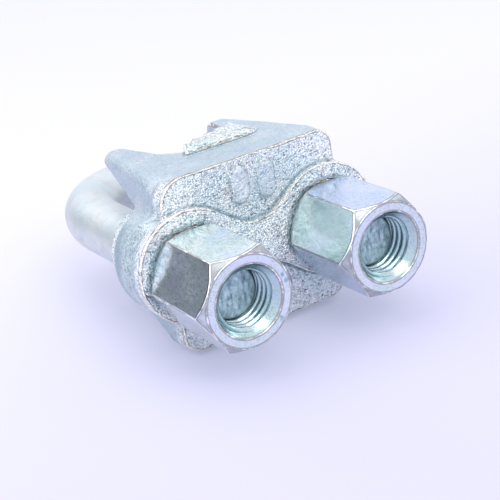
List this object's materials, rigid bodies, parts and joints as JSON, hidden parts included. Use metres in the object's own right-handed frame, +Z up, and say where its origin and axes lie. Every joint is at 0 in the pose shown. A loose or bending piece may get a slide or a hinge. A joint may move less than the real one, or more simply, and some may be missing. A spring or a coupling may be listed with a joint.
{
  "type": "wire rope clip",
  "caption": "U-bolt wire rope clip with a cast saddle and thick hex nuts that draw the U-bolt down on two rope parts.",
  "frame": {"origin": "under the middle of the clip's bounding box, on the surface it lies on", "axes": "+Z up along the rope axis, -Y from the saddle towards the nuts, +X across the two legs"},
  "size_m": [0.0896, 0.1432, 0.0615],
  "materials": {
    "cast_zinc": "rough sand-cast, zinc plated with a blue-white passivate",
    "bar_zinc": "satin zinc plate",
    "nut_left_zinc": "glossy zinc plate with a blue and lilac tint",
    "nut_right_zinc": "glossy zinc plate with a blue and lilac tint"
  },
  "bodies": {
    "saddle": {"saddle": "cast_zinc"},
    "nut_left": {"nut_left": "nut_left_zinc"},
    "nut_right": {"nut_right": "nut_right_zinc"},
    "u_bolt": {"u_bolt": "bar_zinc"}
  },
  "joints": [
    {"name": "nut_left_turn", "type": "hinge", "parent": "saddle", "child": "nut_left", "pos_m": [-0.02585, -0.03835, 0.02855], "axis": [0, 1, 0], "range_deg": [-2700, 1710]},
    {"name": "nut_right_turn", "type": "hinge", "parent": "saddle", "child": "nut_right", "pos_m": [0.02585, -0.03835, 0.02855], "axis": [0, 1, 0], "range_deg": [-2700, 1710]},
    {"name": "u_bolt_draw", "type": "slide", "parent": "saddle", "child": "u_bolt", "axis": [0, -1, 0], "range_m": [-0.01874, 0.01187]}
  ],
  "couplings": [
    {"joint": "nut_left_turn", "follows": "u_bolt_draw", "rad_per_m": 2513.3},
    {"joint": "nut_right_turn", "follows": "u_bolt_draw", "rad_per_m": 2513.3}
  ]
}
